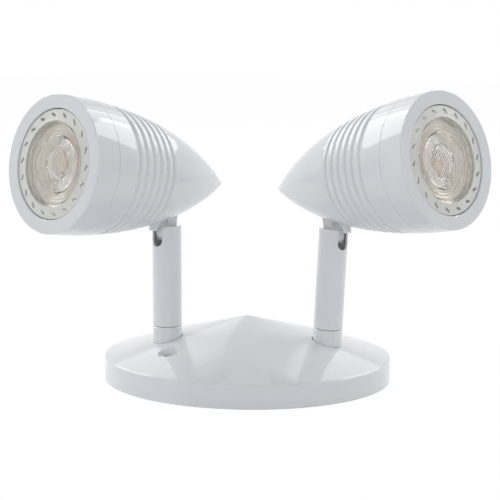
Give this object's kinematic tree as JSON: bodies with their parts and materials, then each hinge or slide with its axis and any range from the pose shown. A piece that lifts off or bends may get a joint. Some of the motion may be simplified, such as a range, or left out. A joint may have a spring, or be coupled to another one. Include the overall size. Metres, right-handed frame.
{
  "type": "wall spotlight",
  "caption": "Wall spotlight: ribbed bullet-shaped heads with LED lamps tilt and swivel on short stems that stand on a round crowned canopy.",
  "frame": {"origin": "centre of the canopy's back plane, which lies against the wall or ceiling", "axes": "+Z out of the wall along the canopy's axis, +X to the right and -Y towards the viewer in the picture, heads at rest as the picture shows them"},
  "size_m": [0.2222, 0.1542, 0.1443],
  "materials": {
    "white_paint": "gloss white enamel over metal",
    "zinc_steel": "zinc plated steel",
    "brass_part": "plain turned brass",
    "black_lead": "black lead insulation",
    "green_lead": "green lead insulation",
    "connector_plastic": "orange connector plastic",
    "spacer_plastic": "hard friction plastic",
    "lamp_plastic": "satin warm white plastic",
    "clear_lens": "clear moulded lens",
    "led_board": "circuit board with amber phosphor",
    "ceramic": "unglazed ceramic"
  },
  "bodies": {
    "canopy_assembly": {"canopy": "white_paint", "ground_lug": "zinc_steel", "ground_lead": "green_lead", "left_supply_leads": "black_lead", "right_supply_leads": "black_lead", "wire_connectors": "connector_plastic", "left_swivel_collar": "white_paint", "left_stop_pin": "zinc_steel", "left_lock_washer": "zinc_steel", "left_stem_nut": "zinc_steel", "left_friction_washer": "spacer_plastic", "left_retaining_ring": "zinc_steel", "right_swivel_collar": "white_paint", "right_stop_pin": "zinc_steel", "right_lock_washer": "zinc_steel", "right_stem_nut": "zinc_steel", "right_friction_washer": "spacer_plastic", "right_retaining_ring": "zinc_steel"},
    "left_stem": {"left_stem_tube": "white_paint", "left_stem_plug": "brass_part", "left_knuckle_pin": "white_paint", "left_friction_spacers": "spacer_plastic", "left_stem_leads": "black_lead"},
    "left_head": {"left_head_housing": "white_paint", "left_lamp_holder": "ceramic", "left_holder_bracket": "zinc_steel", "left_holder_screws": "zinc_steel", "left_head_leads": "black_lead"},
    "left_bezel_ring": {"left_bezel": "white_paint"},
    "left_lamp": {"left_lamp_ring": "lamp_plastic", "left_lamp_lens": "clear_lens", "left_lamp_body": "lamp_plastic", "left_led_module": "led_board", "left_lamp_base": "lamp_plastic", "left_lamp_pins": "zinc_steel"},
    "right_stem": {"right_stem_tube": "white_paint", "right_stem_plug": "brass_part", "right_knuckle_pin": "white_paint", "right_friction_spacers": "spacer_plastic", "right_stem_leads": "black_lead"},
    "right_head": {"right_head_housing": "white_paint", "right_lamp_holder": "ceramic", "right_holder_bracket": "zinc_steel", "right_holder_screws": "zinc_steel", "right_head_leads": "black_lead"},
    "right_bezel_ring": {"right_bezel": "white_paint"},
    "right_lamp": {"right_lamp_ring": "lamp_plastic", "right_lamp_lens": "clear_lens", "right_lamp_body": "lamp_plastic", "right_led_module": "led_board", "right_lamp_base": "lamp_plastic", "right_lamp_pins": "zinc_steel"}
  },
  "joints": [
    {"name": "left_stem_swivel", "type": "hinge", "parent": "canopy_assembly", "child": "left_stem", "pos_m": [-0.03843, -0.0115, 0.02685], "axis": [-0.0106, 0, 0.9999], "range_deg": [-158.19, 76.81]},
    {"name": "left_head_tilt", "type": "hinge", "parent": "left_stem", "child": "left_head", "pos_m": [-0.03891, -0.0115, 0.07182], "axis": [-0.7453, 0.6666, -0.0079], "range_deg": [-44.21, 80.79]},
    {"name": "left_bezel_unscrew", "type": "slide", "parent": "left_head", "child": "left_bezel_ring", "axis": [-0.6597, -0.7358, 0.153], "range_m": [0, 0.02]},
    {"name": "left_lamp_pull", "type": "slide", "parent": "left_head", "child": "left_lamp", "axis": [-0.6597, -0.7358, 0.153], "range_m": [0, 0.062]},
    {"name": "right_stem_swivel", "type": "hinge", "parent": "canopy_assembly", "child": "right_stem", "pos_m": [0.03921, -0.0115, 0.02683], "axis": [0.04, 0, 0.9992], "range_deg": [-82.49, 152.51]},
    {"name": "right_head_tilt", "type": "hinge", "parent": "right_stem", "child": "right_head", "pos_m": [0.04101, -0.0115, 0.07176], "axis": [-0.6755, -0.7369, 0.027], "range_deg": [-48.8, 76.2]},
    {"name": "right_bezel_unscrew", "type": "slide", "parent": "right_head", "child": "right_bezel_ring", "axis": [0.7246, -0.6565, 0.2097], "range_m": [0, 0.02]},
    {"name": "right_lamp_pull", "type": "slide", "parent": "right_head", "child": "right_lamp", "axis": [0.7246, -0.6565, 0.2097], "range_m": [0, 0.062]}
  ]
}
